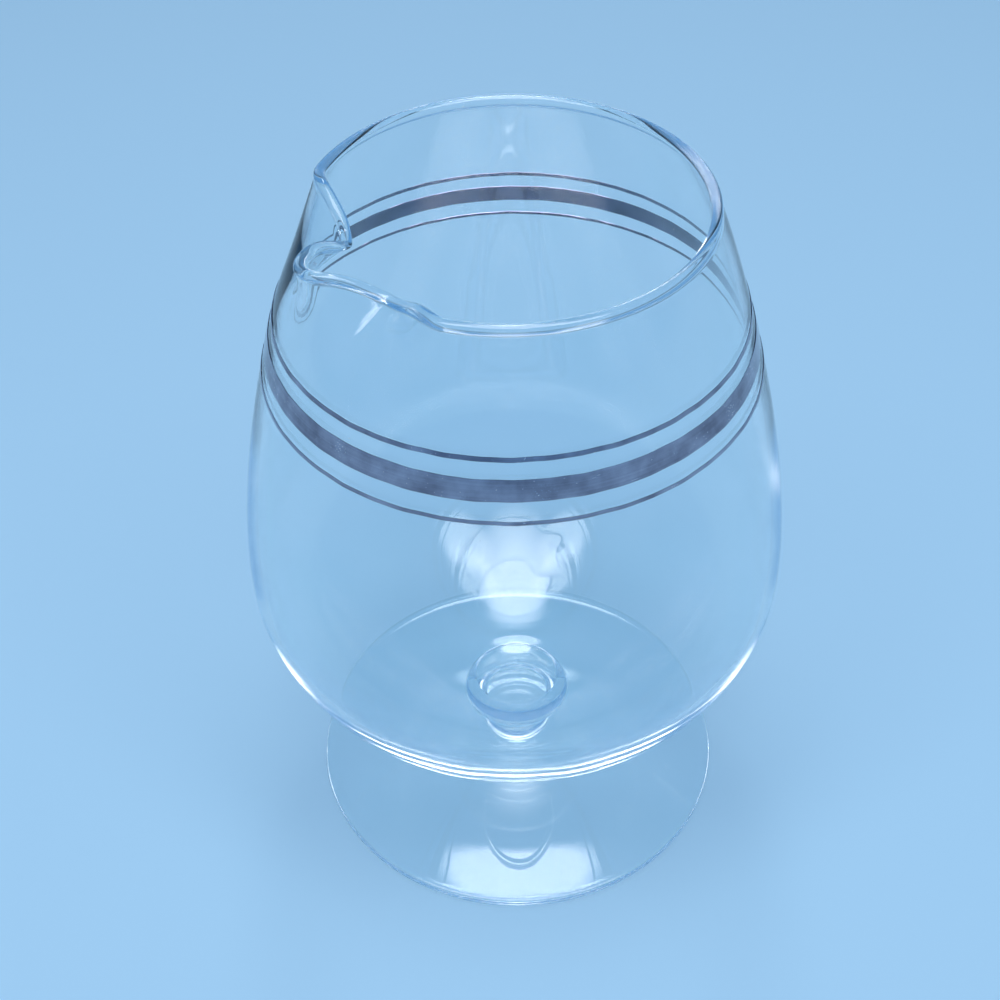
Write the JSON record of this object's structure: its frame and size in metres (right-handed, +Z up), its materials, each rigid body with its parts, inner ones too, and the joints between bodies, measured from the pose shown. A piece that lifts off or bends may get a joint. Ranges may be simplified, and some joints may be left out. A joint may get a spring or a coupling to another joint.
{
  "type": "cocktail pitcher",
  "caption": "Clear glass cocktail pitcher shaped like a footed snifter, with a bead rim, a pinched pouring lip and fired silver rings; it mixes and pours drinks.",
  "frame": {"origin": "on the bowl's axis, in the plane that the foot stands on", "axes": "+Z up along the bowl's axis; -X toward the tip of the pouring lip"},
  "size_m": [0.1288, 0.1288, 0.178],
  "materials": {
    "clear_glass": "fire-polished clear soda-lime glass",
    "fired_silver": "bright fired metal film with fine wear"
  },
  "bodies": {
    "root": {"bowl": "clear_glass", "stem": "clear_glass", "foot": "clear_glass", "upper_line": "fired_silver", "broad_band": "fired_silver", "lower_line": "fired_silver"}
  },
  "joints": []
}
